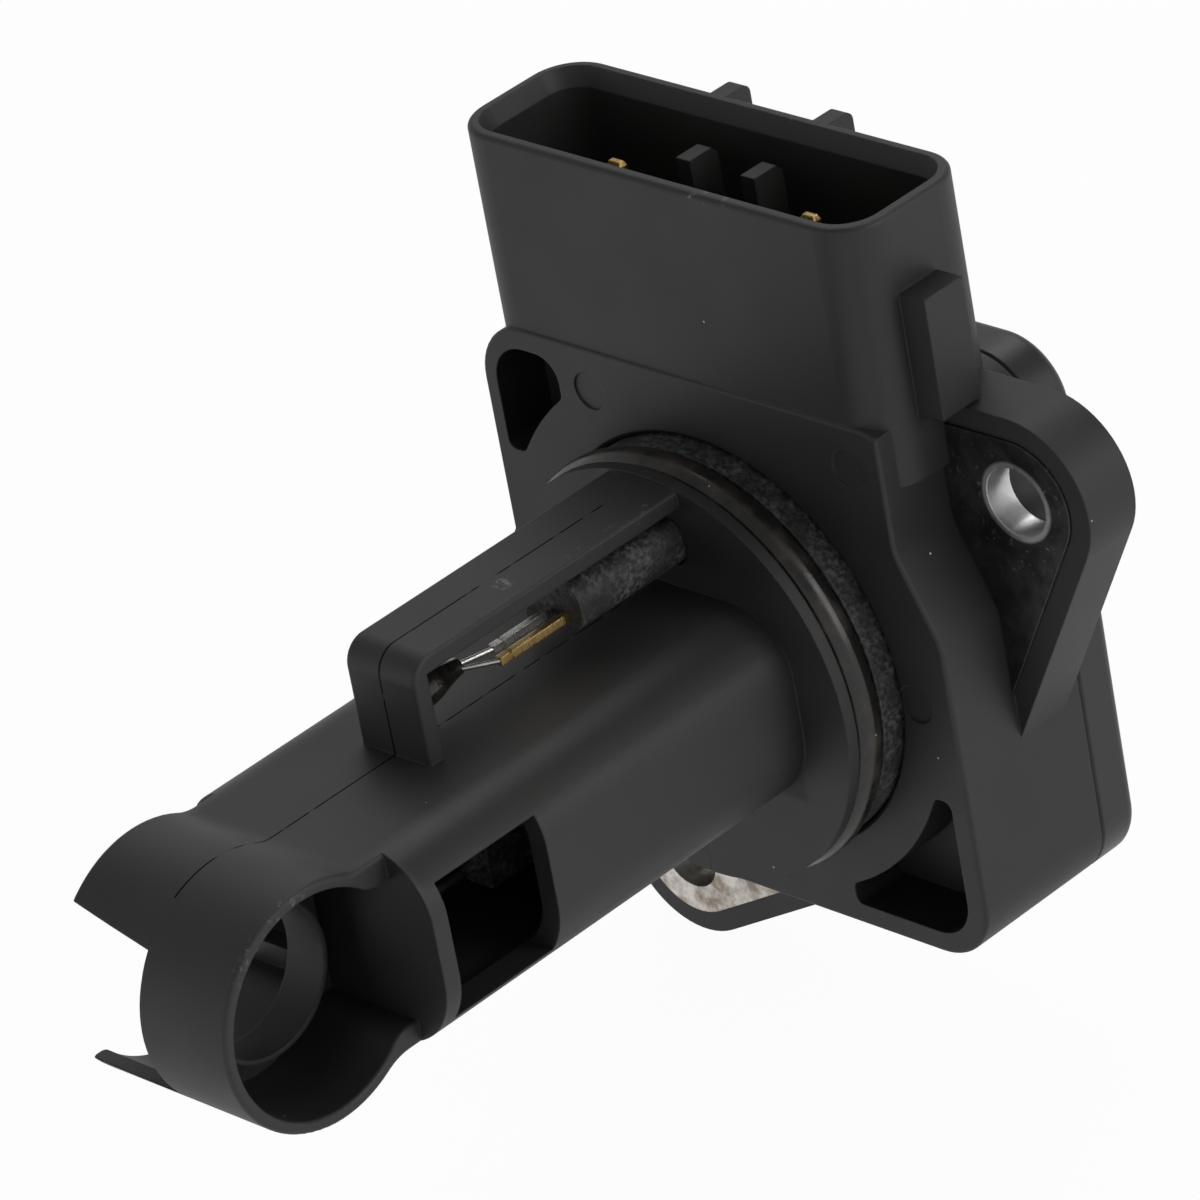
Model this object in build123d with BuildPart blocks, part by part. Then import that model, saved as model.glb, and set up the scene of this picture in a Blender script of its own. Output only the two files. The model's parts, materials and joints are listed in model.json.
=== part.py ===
"""Mass airflow sensor: a plug-in probe with a flange, two screw ears and a plug socket.

Frame: origin on the probe's axis, in the plane of the flange's front face.
The probe points along -Y, the flange and its cover lie behind at +Y, and the
plug socket opens upward along +Z. X runs across the flange, along the air flow.
All sizes are millimetres.
"""
import os
from math import cos, hypot, radians, sin

from build123d import *

os.makedirs("parts", exist_ok=True)

# Flange block of the housing
flange_left = 17.5
flange_right = 18.0
flange_half_height = 17.95
flange_corner = 4.2
edge_round = 0.25
cover_joint = 0.15
housing_depth = 10.75
front_depth = 5.25
cavity_wall = 3.0
cavity_corner = 1.6

# Recess in the flange's right side that clears the upper screw
recess_step = 2.6
recess_bottom = 4.3
recess_slope = 5.6
recess_bend = 3.5

# Screw ears: hole centres, outline and the plastic behind the metal
upper_hole_out = 20.85
upper_hole_up = 12.3
lower_hole_down = 22.0
lower_hole_side = 13.0
ear_radius = 5.5
ear_ledge = 1.45
ear_taper = 28.4
ear_back = 9.3
screw_hole = 4.5
screw_relief = 0.3

# Metal plate that carries both ears
plate_front = 5.1
plate_thickness = 2.0
plate_inset = 4.2
plate_overlap = 2.0

# Core-out pockets and ejector marks in the flange's front face
pocket_wall = 1.45
pocket_depth = 4.0
pocket_arc = 16.7
lower_pocket_left = 7.1
lower_pocket_top = 6.7
pocket_lobe = 0.6
upper_pocket_wall = 1.1
upper_pocket_arc = 17.6
upper_pocket_right = 10.9
upper_pocket_bottom = 9.1
upper_pocket_lobe = 1.7
mark_radius = 1.25
mark_depth = 0.12
mark_places = [(-8.3, 15.0), (12.75, 15.0), (15.0, -0.3)]

# Plug socket
socket_half_width = 16.4
socket_shift = -0.4
socket_front = 0.15
socket_height = 12.95
socket_floor_rise = 1.55
socket_corner = 3.1
socket_rim_round = 0.35
socket_wall = 1.2
lead_in = 0.5
lead_in_height = 1.2
key_width = 1.1
key_front = 5.9
key_length = 2.4
key_drop = 1.9
key_chamfer = 0.5
guide_width = 2.0
guide_front = 3.2
guide_length = 3.3
guide_height = 7.9
tab_spacing = 8.3
tab_shift = 0.15
tab_width = 1.25
tab_reach = 1.8
tab_height = 10.5
tab_round = 0.6
ramp_width = 3.4
ramp_reach = 1.3
ramp_height = 3.0
ramp_drop = 4.6

# Blade terminals in the socket
pin_pitch = 5.25
blade_width = 1.15
blade_thickness = 0.64
blade_row = 5.1
blade_steps = (-2.5, -1.5, 1.5, 2.5)
blade_tip_drop = 2.9
outer_tip_drop = 5.4
blade_bend_depth = 0.95
blade_tail_clearance = 0.05
blade_tip_chamfer = 0.3
bond_ledge_height = 1.8
sealant_clearance = 0.6

# Rear cover and the sealant under it
cover_thickness = 3.15
cover_skin = 1.5
cover_edge = 0.8
groove_width = 1.2
groove_depth = 1.0
tongue_height = 0.6
fit_gap = 0.1

# Rough-moulded sensor core
collar_radius = 13.65
collar_depth = 1.5
core_lead_in = 0.25
stem_radius = 10.5
plug_length = 6.5
tongue_width = 2.6
tongue_half_height = 4.4
tongue_end = 23.0

# Boss and seal groove at the foot of the probe
land_radius = 13.8
land_thickness = 0.85
boss_length = 4.7
groove_radius = 11.85
seal_section = 2.3

# Probe body
body_half_width = 9.9
body_shift = 0.2
body_half_height = 6.65
body_corner = 4.1
body_bottom_corner = 5.4
body_wall = 1.4
body_end = 35.2
end_wall = 1.2
window_near = 25.8
window_half_height = 4.65
transfer_half_height = 3.2
transfer_near = 1.4
transfer_far = 6.2

# Tip of the probe: a short tube across the flow
ring_centre = 41.65
ring_radius = 7.65
ring_bore = 6.85
ring_half_width = 7.05
tube_rim_round = 0.3
neck_bore_half_height = 4.7
neck_blend = 2.2
neck_crease = 2.5
inlet_half_height = 4.85
inlet_rise = 0.8
inlet_lift = 0.4
inlet_back = 36.8
throat_bore = 4.6
throat_wall = 0.9
throat_end = 2.2
throat_web = 0.8
throat_taper = 11

# Guard strap over the air temperature bead
strap_left = 2.8
strap_right = 2.9
strap_top = 13.4
strap_thickness = 1.1
strap_reach = 27.1
strap_corner = 1.6

# Carrier block, terminals, leads and bead of the air temperature sensor
carrier_left = 2.1
carrier_right = 2.75
carrier_bottom = 8.2
carrier_height = 3.1
carrier_reach = 13.5
carrier_corner = 1.25
near_terminal_x = 1.45
near_terminal_end = 19.3
far_terminal_x = 0.1
far_terminal_end = 18.5
terminal_height = 9.2
terminal_thickness = 0.45
terminal_width = 0.55
crimp_notch = 0.15
crimp_place = 0.9
lead_radius = 0.16
lead_spread = 0.22
lead_bury = 0.4
bead_shift = -0.4
bead_start = 20.9
bead_neck_radius = 0.55
bead_radius = 1.15
bead_length = 4.6
bead_belly = 0.62
bead_shoulder = 0.15

# Circuit board and its parts
board_thickness = 0.8
board_margin = 0.8
board_slot_half_width = 2.4
board_slot_bottom = 4.4
board_slot_top = 10.6
chip_height = 1.4
control_chip_size = 7.0
control_chip_x = -8.4
control_chip_z = -5.0
driver_chip_size = 5.0
driver_chip_x = 8.6
driver_chip_z = -6.2
capacitor_length = 1.25
capacitor_width = 2.0
capacitor_height = 0.9
capacitor_row = 7.4
capacitor_places = [-10.6, -5.8, 5.8, 10.6]
bond_wire = 0.3
bond_arch = 0.9
bond_foot = 0.8
bond_bend = 0.5

# Sensing elements on their pins
sense_pin = 0.6
sense_pin_inner = 1.2
sense_pin_outer = 3.2
inner_pin_end = 26.2
outer_pin_end = 28.2
pin_stub = 1.1
element_radius = 0.3
element_overhang = 0.4
element_setback = 0.6

# Distance within which an edge or face is taken to lie at a stated place
tolerance = 0.05

# Places that follow from the sizes above
plate_back = plate_front + plate_thickness
board_back = plate_back + board_thickness
socket_top = flange_half_height + socket_height
socket_floor = flange_half_height + socket_floor_rise
blade_bend = flange_half_height - blade_bend_depth
blade_tail_back = housing_depth - groove_depth - sealant_clearance
bond_ledge = blade_tail_back - blade_thickness - plate_back
socket_back = housing_depth
cavity_half_height = flange_half_height - cavity_wall
blade_tail = cavity_half_height - bond_ledge_height + blade_tail_clearance
hole_radius = screw_hole / 2
plate_ear_radius = ear_radius - ear_ledge
pocket_outer_left = flange_left - upper_pocket_wall
pocket_outer_right = flange_right - pocket_wall
pocket_outer_up = flange_half_height - pocket_wall
pocket_corner = flange_corner - pocket_wall


def at_y(y):
    """Drawing plane across the probe's axis at a given y, with z upward."""
    return Plane.XZ.offset(-y)


def ear_outline(outward, along, wall, radius, foot_inset):
    """Corner points of an ear in its own (outward, along) directions, without its round end."""
    tilt = radians(ear_taper)
    touch = (outward + radius * cos(tilt), along - radius * sin(tilt))
    drop = (touch[0] - wall) / sin(tilt) * cos(tilt)
    foot = (wall, touch[1] - drop)
    inside = wall - foot_inset
    return [(inside, along + radius), (outward, along + radius), touch, foot, (inside, foot[1])]


def upper_ear(radius, foot_inset):
    """Outline of the upper ear, which reaches out along +X."""
    points = ear_outline(upper_hole_out, upper_hole_up, flange_right, radius, foot_inset)
    Polygon(*points, align=None)
    with Locations((upper_hole_out, upper_hole_up)):
        Circle(radius)


def lower_ear(radius, foot_inset):
    """Outline of the lower ear: the upper one's form turned over, reaching down along -Z."""
    points = ear_outline(lower_hole_down, lower_hole_side, flange_half_height, radius, foot_inset)
    turned = [(-along, -outward) for outward, along in points]
    Polygon(*reversed(turned), align=None)
    with Locations((-lower_hole_side, -lower_hole_down)):
        Circle(radius)


def block_outline(inset, corner):
    """Rounded rectangle of the flange, drawn in by an inset."""
    width = flange_left + flange_right - 2 * inset
    with Locations(((flange_right - flange_left) / 2, 0)):
        RectangleRounded(width, 2 * (flange_half_height - inset), corner)


def body_outline(inset):
    """Rounded section of the probe body, drawn in by an inset."""
    with Locations((body_shift, 0)):
        RectangleRounded(
            2 * (body_half_width - inset), 2 * (body_half_height - inset), body_corner - inset
        )
    with Locations((body_shift, body_half_height)):
        RectangleRounded(
            2 * (body_half_width - inset),
            2 * (2 * body_half_height - inset),
            body_bottom_corner - inset,
            mode=Mode.INTERSECT,
        )


# Metal plate with both ears, moulded into the housing
with BuildPart() as plate:
    with BuildSketch(at_y(plate_back)):
        block_outline(plate_inset, flange_corner / 2)
        upper_ear(plate_ear_radius, plate_inset + plate_overlap)
        lower_ear(plate_ear_radius, plate_inset + plate_overlap)
        with Locations((upper_hole_out, upper_hole_up), (-lower_hole_side, -lower_hole_down)):
            Circle(hole_radius, mode=Mode.SUBTRACT)
        Circle(stem_radius, mode=Mode.SUBTRACT)
    extrude(amount=plate_thickness)
plate.part.label = "mounting_plate"
export_step(plate.part, "parts/mounting_plate.step")


# Blade terminals: a blade in the socket, a bend through the wall and a bonding tail
blade_places = [socket_shift + pin_pitch * step for step in blade_steps]
blades = []
for index, place in enumerate(blade_places, start=1):
    outermost = index in (1, len(blade_places))
    blade_tip = socket_top - (outer_tip_drop if outermost else blade_tip_drop)
    with BuildPart() as blade:
        with BuildSketch(Plane.YZ.offset(place - blade_width / 2)):
            with BuildLine():
                Polyline(
                    (blade_row, blade_tip),
                    (blade_row, blade_bend),
                    (blade_tail_back - blade_thickness, blade_bend),
                    (blade_tail_back - blade_thickness, blade_tail),
                    (blade_tail_back, blade_tail),
                    (blade_tail_back, blade_bend + blade_thickness),
                    (blade_row + blade_thickness, blade_bend + blade_thickness),
                    (blade_row + blade_thickness, blade_tip),
                    close=True,
                )
            make_face()
        extrude(amount=blade_width)
        tip = blade.faces().sort_by(Axis.Z)[-1]
        chamfer(tip.edges(), length=blade_tip_chamfer / 2, length2=blade_tip_chamfer)
    blade.part.label = f"connector_blade_{index}"
    export_step(blade.part, f"parts/connector_blade_{index}.step")
    blades.append(blade.part)


# Housing: flange block, ear backing and plug socket in one moulding
with BuildPart() as housing:
    with BuildSketch(at_y(housing_depth)):
        block_outline(0, flange_corner)
    extrude(amount=housing_depth - front_depth)
    chamfer(housing.faces().sort_by(Axis.Y)[-1].edges(), cover_joint)
    with BuildSketch(at_y(front_depth)) as front_outline:
        block_outline(0, flange_corner)
        with BuildLine():
            Polyline(
                (flange_right - recess_step, flange_half_height + flange_corner),
                (flange_right - recess_step, recess_bottom + recess_slope),
                (flange_right, recess_bottom),
                (flange_right + flange_corner, recess_bottom),
                (flange_right + flange_corner, flange_half_height + flange_corner),
                close=True,
            )
        make_face(mode=Mode.SUBTRACT)
        bends = front_outline.vertices().filter_by(
            lambda v: recess_bottom - tolerance < v.Y < recess_bottom + recess_slope + tolerance and v.X > 0
        )
        fillet(bends, recess_bend)
    extrude(amount=front_depth)
    fillet(housing.faces().sort_by(Axis.Y)[0].edges(), edge_round)
    with BuildSketch(at_y(ear_back)):
        upper_ear(ear_radius, cavity_wall)
        lower_ear(ear_radius, cavity_wall)
    extrude(amount=ear_back - front_depth)

    # Socket shell, standing on the block and let into its rounded corners
    socket_depth = socket_back - socket_front
    with BuildSketch(Plane.XY.offset(flange_half_height - flange_corner)):
        with Locations((socket_shift, (socket_front + socket_back) / 2)):
            RectangleRounded(2 * socket_half_width, socket_depth, socket_corner)
    extrude(amount=socket_top - flange_half_height + flange_corner)
    fillet(housing.faces().sort_by(Axis.Z)[-1].edges(), socket_rim_round)
    with BuildSketch(Plane.XY.offset(flange_half_height)):
        guide_left = socket_shift + socket_half_width - socket_wall
        guide_right = socket_shift + socket_half_width + guide_width
        with Locations((guide_left, guide_front)):
            Rectangle(guide_right - guide_left, guide_length, align=(Align.MIN, Align.MIN))
    extrude(amount=guide_height)
    tab_base = socket_back - socket_wall / 2
    with BuildSketch(Plane.XY.offset(socket_top)):
        for side in (-1, 1):
            with Locations((tab_shift + side * tab_spacing / 2, tab_base)):
                Rectangle(tab_width, tab_reach + socket_wall / 2, align=(Align.CENTER, Align.MIN))
    extrude(amount=-tab_height)
    tab_tops = (
        housing.edges()
        .filter_by(Axis.X)
        .filter_by(lambda e: e.center().Y > socket_back + tab_reach - tolerance)
        .filter_by(lambda e: e.center().Z > socket_top - tolerance)
    )
    fillet(tab_tops, tab_round)
    with BuildSketch(Plane.YZ.offset(tab_shift - ramp_width / 2)):
        ramp_top = socket_top - ramp_drop
        with BuildLine():
            Polyline(
                (tab_base, ramp_top),
                (socket_back, ramp_top),
                (socket_back + ramp_reach, ramp_top - ramp_height),
                (tab_base, ramp_top - ramp_height),
                close=True,
            )
        make_face()
    extrude(amount=ramp_width)

    # Socket bore with a wider mouth
    with BuildSketch(Plane.XY.offset(socket_floor)):
        with Locations((socket_shift, (socket_front + socket_back) / 2)):
            RectangleRounded(
                2 * (socket_half_width - socket_wall),
                socket_depth - 2 * socket_wall,
                socket_corner - socket_wall,
            )
    extrude(amount=socket_top - socket_floor, mode=Mode.SUBTRACT)
    mouth = (
        housing.faces()
        .filter_by(Axis.Z)
        .filter_by(lambda f: abs(f.center().Z - socket_top) < tolerance)
        .sort_by(SortBy.AREA)[-1]
    )
    chamfer(mouth.inner_wires().edges(), length=lead_in, length2=lead_in_height, reference=mouth)

    # Keying ribs that stand on the socket floor
    with BuildSketch(Plane.XY.offset(socket_floor)):
        for side in (-1, 1):
            with Locations((socket_shift + side * pin_pitch / 2, key_front)):
                Rectangle(key_width, key_length, align=(Align.CENTER, Align.MIN))
    extrude(amount=socket_top - key_drop - socket_floor)
    key_edges = (
        housing.edges()
        .filter_by(Axis.X)
        .filter_by(lambda e: abs(e.center().Z - (socket_top - key_drop)) < tolerance)
        .filter_by(lambda e: abs(e.center().Y - key_front - key_length) < tolerance)
    )
    chamfer(key_edges, key_chamfer)

    # Board cavity, open at the back, with a ledge for the bonding tails
    with BuildSketch(at_y(housing_depth)):
        block_outline(cavity_wall, cavity_corner)
    extrude(amount=housing_depth - plate_back, mode=Mode.SUBTRACT)
    with BuildSketch(at_y(plate_back + bond_ledge)):
        with Locations(((flange_right - flange_left) / 2, cavity_half_height - bond_ledge_height / 2)):
            Rectangle(flange_left + flange_right - 2 * cavity_wall, bond_ledge_height)
    extrude(amount=bond_ledge)

    # Seats of the core and the metal plate, and the screw reliefs
    with BuildSketch(at_y(plate_back)):
        Circle(stem_radius)
    extrude(amount=plate_thickness, mode=Mode.SUBTRACT)
    with BuildSketch(at_y(plate_front)):
        Circle(collar_radius + fit_gap)
    extrude(amount=plate_front, mode=Mode.SUBTRACT)
    core_mouth = (
        housing.edges()
        .filter_by(GeomType.CIRCLE)
        .filter_by(lambda e: abs(e.radius - collar_radius - fit_gap) < tolerance)
        .filter_by(lambda e: abs(e.arc_center.Y) < tolerance)
    )
    chamfer(core_mouth, core_lead_in)
    add(plate.part, mode=Mode.SUBTRACT)
    with BuildSketch(at_y(ear_back)):
        with Locations((upper_hole_out, upper_hole_up), (-lower_hole_side, -lower_hole_down)):
            Circle(hole_radius + screw_relief)
    extrude(amount=ear_back, mode=Mode.SUBTRACT)

    # Sealant groove round the cavity
    with BuildSketch(at_y(housing_depth)):
        block_outline((cavity_wall - groove_width) / 2, flange_corner - (cavity_wall - groove_width) / 2)
        inner_inset = (cavity_wall + groove_width) / 2
        with BuildSketch(mode=Mode.SUBTRACT):
            block_outline(inner_inset, flange_corner - inner_inset)
    extrude(amount=groove_depth, mode=Mode.SUBTRACT)

    # Core-out pockets between the boss and two corners
    with BuildSketch(at_y(0)) as lower_pocket:
        with Locations((lower_pocket_left, -pocket_outer_up)):
            Rectangle(
                pocket_outer_right - lower_pocket_left,
                pocket_outer_up - lower_pocket_top,
                align=(Align.MIN, Align.MIN),
            )
        Circle(pocket_arc, mode=Mode.SUBTRACT)
        outer_corner = lower_pocket.vertices().sort_by(Axis.Y)[:2].sort_by(Axis.X)[-1]
        lobes = lower_pocket.vertices().filter_by(lambda v: v != outer_corner)
        fillet(lobes, pocket_lobe)
        outer_corner = lower_pocket.vertices().sort_by(lambda v: v.X - v.Y)[-1]
        fillet(outer_corner, pocket_corner)
    extrude(amount=-pocket_depth, mode=Mode.SUBTRACT)
    with BuildSketch(at_y(0)) as upper_pocket:
        with Locations((-upper_pocket_right, upper_pocket_bottom)):
            Rectangle(
                pocket_outer_left - upper_pocket_right,
                pocket_outer_up - upper_pocket_bottom,
                align=(Align.MAX, Align.MIN),
            )
        Circle(upper_pocket_arc, mode=Mode.SUBTRACT)
        lobes = upper_pocket.vertices().filter_by(lambda v: v.Y < pocket_outer_up - upper_pocket_lobe)
        fillet(lobes, pocket_lobe)
        corner = upper_pocket.vertices().sort_by(lambda v: v.Y - v.X)[-1]
        fillet(corner, pocket_corner)
        corner = upper_pocket.vertices().sort_by(lambda v: v.Y + v.X)[-1]
        fillet(corner, upper_pocket_lobe)
    extrude(amount=-pocket_depth, mode=Mode.SUBTRACT)
    with BuildSketch(at_y(0)):
        with Locations(*mark_places):
            Circle(mark_radius)
    extrude(amount=-mark_depth, mode=Mode.SUBTRACT)

    for blade_solid in blades:
        add(blade_solid, mode=Mode.SUBTRACT)
housing.part.label = "housing"
export_step(housing.part, "parts/housing.step")


# Rear cover with a tongue that presses into the sealant
with BuildPart() as cover:
    with BuildSketch(at_y(housing_depth + cover_thickness)):
        block_outline(0, flange_corner)
    extrude(amount=cover_thickness)
    chamfer(cover.faces().sort_by(Axis.Y)[0].edges(), cover_joint)
    fillet(cover.faces().sort_by(Axis.Y)[-1].edges(), cover_edge)
    with BuildSketch(at_y(housing_depth + cover_thickness - cover_skin)):
        block_outline(cavity_wall, cavity_corner)
    extrude(amount=cover_thickness - cover_skin, mode=Mode.SUBTRACT)
    with BuildSketch(at_y(housing_depth)):
        outer_inset = (cavity_wall - groove_width) / 2 + fit_gap
        inner_inset = (cavity_wall + groove_width) / 2 - fit_gap
        block_outline(outer_inset, flange_corner - outer_inset)
        with BuildSketch(mode=Mode.SUBTRACT):
            block_outline(inner_inset, flange_corner - inner_inset)
    extrude(amount=tongue_height)
cover.part.label = "rear_cover"
export_step(cover.part, "parts/rear_cover.step")


# Sealant bead at the bottom of the groove
with BuildPart() as sealant:
    with BuildSketch(at_y(housing_depth - tongue_height)):
        outer_inset = (cavity_wall - groove_width) / 2
        inner_inset = (cavity_wall + groove_width) / 2
        block_outline(outer_inset, flange_corner - outer_inset)
        with BuildSketch(mode=Mode.SUBTRACT):
            block_outline(inner_inset, flange_corner - inner_inset)
    extrude(amount=groove_depth - tongue_height)
sealant.part.label = "cover_sealant"
export_step(sealant.part, "parts/cover_sealant.step")


# Square-cut terminals of the temperature bead, each with a crimp notch near its end
terminals = []
for name, place, end in (
    ("bead_terminal_near", near_terminal_x, near_terminal_end),
    ("bead_terminal_far", far_terminal_x, far_terminal_end),
):
    with BuildPart() as terminal:
        with BuildSketch(at_y(board_back + pin_stub)):
            with Locations((place, terminal_height)):
                Rectangle(terminal_thickness, terminal_width)
        extrude(amount=board_back + pin_stub + end)
        with BuildSketch(Plane.YZ.offset(place - terminal_thickness / 2)):
            for side in (-1, 1):
                with Locations((crimp_place - end, terminal_height + side * terminal_width / 2)):
                    Rectangle(2 * crimp_notch, crimp_notch, rotation=45)
        extrude(amount=terminal_thickness, mode=Mode.SUBTRACT)
    terminal.part.label = name
    export_step(terminal.part, f"parts/{name}.step")
    terminals.append(terminal.part)


# Leads from the terminals' ends into the bead
leads = []
for name, place, end, side in (
    ("bead_lead_near", near_terminal_x, near_terminal_end, 1),
    ("bead_lead_far", far_terminal_x, far_terminal_end, -1),
):
    with BuildPart() as lead:
        with BuildSketch(at_y(-end)):
            with Locations((place, terminal_height)):
                Circle(lead_radius)
        with BuildSketch(at_y(-bead_start - lead_bury)):
            with Locations((bead_shift + side * lead_spread, terminal_height)):
                Circle(lead_radius)
        loft()
    lead.part.label = name
    export_step(lead.part, f"parts/{name}.step")
    leads.append(lead.part)


# Temperature bead: a teardrop of dipped glaze round the lead ends
with BuildPart() as bead:
    with BuildSketch(Plane.XY.offset(terminal_height)):
        with BuildLine():
            Line((bead_shift, -bead_start), (bead_shift + bead_neck_radius, -bead_start))
            Spline(
                (bead_shift + bead_neck_radius, -bead_start),
                (bead_shift + bead_radius, -bead_start - bead_belly * bead_length),
                (bead_shift, -bead_start - bead_length),
                tangents=((bead_shoulder, -1), (-1, 0)),
            )
            Line((bead_shift, -bead_start - bead_length), (bead_shift, -bead_start))
        make_face()
    revolve(axis=Axis((bead_shift, 0, terminal_height), (0, 1, 0)), revolution_arc=360)
    for lead_solid in leads:
        add(lead_solid, mode=Mode.SUBTRACT)
bead.part.label = "temperature_bead"
export_step(bead.part, "parts/temperature_bead.step")


# Support pins of the sensing elements, from the board to the air channel
pins = []
for name, place, end in (
    ("sense_pin_upper_outer", sense_pin_outer, outer_pin_end),
    ("sense_pin_upper_inner", sense_pin_inner, inner_pin_end),
    ("sense_pin_lower_inner", -sense_pin_inner, inner_pin_end),
    ("sense_pin_lower_outer", -sense_pin_outer, outer_pin_end),
):
    with BuildPart() as pin:
        with BuildSketch(at_y(board_back + pin_stub)):
            with Locations((0, place)):
                Circle(sense_pin / 2)
        extrude(amount=board_back + pin_stub + end)
    pin.part.label = name
    export_step(pin.part, f"parts/{name}.step")
    pins.append(pin.part)


# Heated element across the inner pins and reference element across the outer pins
for name, reach, end in (
    ("hot_element", sense_pin_inner, inner_pin_end),
    ("reference_element", sense_pin_outer, outer_pin_end),
):
    with BuildPart() as element:
        with BuildSketch(Plane.XY.offset(-reach - element_overhang)):
            with Locations((sense_pin / 2 + element_radius, element_setback - end)):
                Circle(element_radius)
        extrude(amount=2 * (reach + element_overhang))
    element.part.label = name
    export_step(element.part, f"parts/{name}.step")


# Rough-moulded sensor core: collar, spigot, tongue and the bead terminals' carrier block
with BuildPart() as core:
    with BuildSketch(at_y(plate_front)):
        Circle(collar_radius)
    extrude(amount=plate_front + collar_depth)
    with BuildSketch(at_y(plug_length)):
        Circle(stem_radius - fit_gap)
    extrude(amount=plug_length)
    with BuildSketch(at_y(-collar_depth)):
        Rectangle(tongue_width, 2 * tongue_half_height)
    extrude(amount=tongue_end - collar_depth)
    with BuildSketch(at_y(-collar_depth)) as carrier_outline:
        with Locations((-carrier_left, carrier_bottom)):
            Rectangle(carrier_left + carrier_right, carrier_height, align=(Align.MIN, Align.MIN))
        fillet(carrier_outline.vertices().sort_by(Axis.X)[-2:], carrier_corner)
    extrude(amount=carrier_reach - collar_depth)
    for metal in terminals + pins:
        add(metal, mode=Mode.SUBTRACT)
core.part.label = "sensor_core"
export_step(core.part, "parts/sensor_core.step")


# The whole probe before it is split: seal land, hollow body, guard strap and tube at the tip
with BuildPart() as probe:
    with BuildSketch(at_y(-collar_depth)):
        Circle(groove_radius)
    extrude(amount=boss_length - collar_depth)
    with BuildSketch(at_y(land_thickness - boss_length)):
        Circle(land_radius)
    extrude(amount=land_thickness)
    with BuildSketch(at_y(-boss_length)):
        body_outline(0)
    extrude(amount=ring_centre - boss_length)
    with BuildSketch(at_y(-body_end)):
        for side, edge in ((-1, Align.MAX), (1, Align.MIN)):
            with Locations((side * ring_half_width, 0)):
                Rectangle(body_half_width, 2 * ring_radius, align=(edge, Align.CENTER))
    extrude(amount=ring_centre - body_end, mode=Mode.SUBTRACT)
    with BuildSketch(Plane.YZ.offset(-ring_half_width)):
        with Locations((-ring_centre, 0)):
            Circle(ring_radius)
    extrude(amount=2 * ring_half_width)
    creases = probe.edges().filter_by(
        lambda e: -ring_centre < e.center().Y < -body_end
        and abs(e.center().X) < ring_half_width - tolerance
        and abs(hypot(e.center().Y + ring_centre, e.center().Z) - ring_radius) < tolerance
    )
    fillet(creases, neck_crease)
    tube_sides = probe.faces().filter_by(Axis.X).filter_by(
        lambda f: abs(abs(f.center().X) - ring_half_width) < tolerance and f.center().Y < -body_end
    )
    outer_rims = tube_sides.edges().filter_by(lambda e: e.center().Y < -body_end - tube_rim_round)
    fillet(outer_rims, tube_rim_round)
    with BuildSketch(Plane.YZ.offset(-strap_left)) as strap_side:
        with Locations((-boss_length, strap_top)):
            Rectangle(strap_reach - boss_length, strap_thickness, align=(Align.MAX, Align.MAX))
        with Locations((-strap_reach, strap_top)):
            post_height = strap_top - body_half_height + body_wall / 2
            Rectangle(strap_thickness, post_height, align=(Align.MIN, Align.MAX))
        outer_bend = strap_side.vertices().sort_by(Axis.X)[:2].sort_by(Axis.Y)[-1]
        fillet(outer_bend, strap_corner)
    extrude(amount=strap_left + strap_right)
    strap_edges = probe.edges().filter_by(
        lambda e: e.center().Z > strap_top - strap_thickness / 2
        and e.center().Y > -strap_reach - tolerance
        and min(abs(e.center().X + strap_left), abs(e.center().X - strap_right)) < tolerance
    )
    fillet(strap_edges, edge_round)
    with BuildSketch(Plane.YZ.offset(-ring_half_width)) as keyhole:
        with Locations((-ring_centre, 0)):
            Rectangle(ring_centre, 2 * neck_bore_half_height, align=(Align.MIN, Align.CENTER))
            Circle(ring_bore)
        meets = keyhole.vertices().filter_by(lambda v: v.X < -body_end)
        fillet(meets, neck_blend)
        with Locations((-body_end, 0)):
            Rectangle(2 * body_end, 4 * ring_radius, align=(Align.MIN, Align.CENTER), mode=Mode.SUBTRACT)
    extrude(amount=2 * ring_half_width, mode=Mode.SUBTRACT)
    bore_rims = probe.edges().filter_by(
        lambda e: abs(abs(e.center().X) - ring_half_width) < tolerance
        and hypot(e.center().Y + ring_centre, e.center().Z) < ring_bore + tolerance
        and e.center().Y < -body_end - tolerance
    )
    fillet(bore_rims, edge_round)
    with BuildSketch(at_y(-collar_depth)):
        body_outline(body_wall)
    extrude(amount=body_end - end_wall - collar_depth, mode=Mode.SUBTRACT)
    with BuildSketch(at_y(-collar_depth)) as carrier_hole:
        with Locations((-carrier_left - fit_gap, carrier_bottom - fit_gap)):
            Rectangle(
                carrier_left + carrier_right + 2 * fit_gap,
                carrier_height + 2 * fit_gap,
                align=(Align.MIN, Align.MIN),
            )
        fillet(carrier_hole.vertices().sort_by(Axis.X)[-2:], carrier_corner)
    extrude(amount=boss_length - collar_depth, mode=Mode.SUBTRACT)


# Half of the probe on the outlet side, with the body's window
with BuildPart() as outlet_half:
    add(probe.part)
    split(bisect_by=Plane.YZ, keep=Keep.TOP)
    with BuildSketch(Plane.YZ.offset(body_half_width - body_corner)):
        with Locations((-window_near, 0)):
            Rectangle(
                body_end - end_wall - window_near,
                2 * window_half_height,
                align=(Align.MAX, Align.CENTER),
            )
    extrude(amount=2 * body_corner, mode=Mode.SUBTRACT)
outlet_half.part.label = "probe_half_outlet"
export_step(outlet_half.part, "parts/probe_half_outlet.step")


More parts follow.
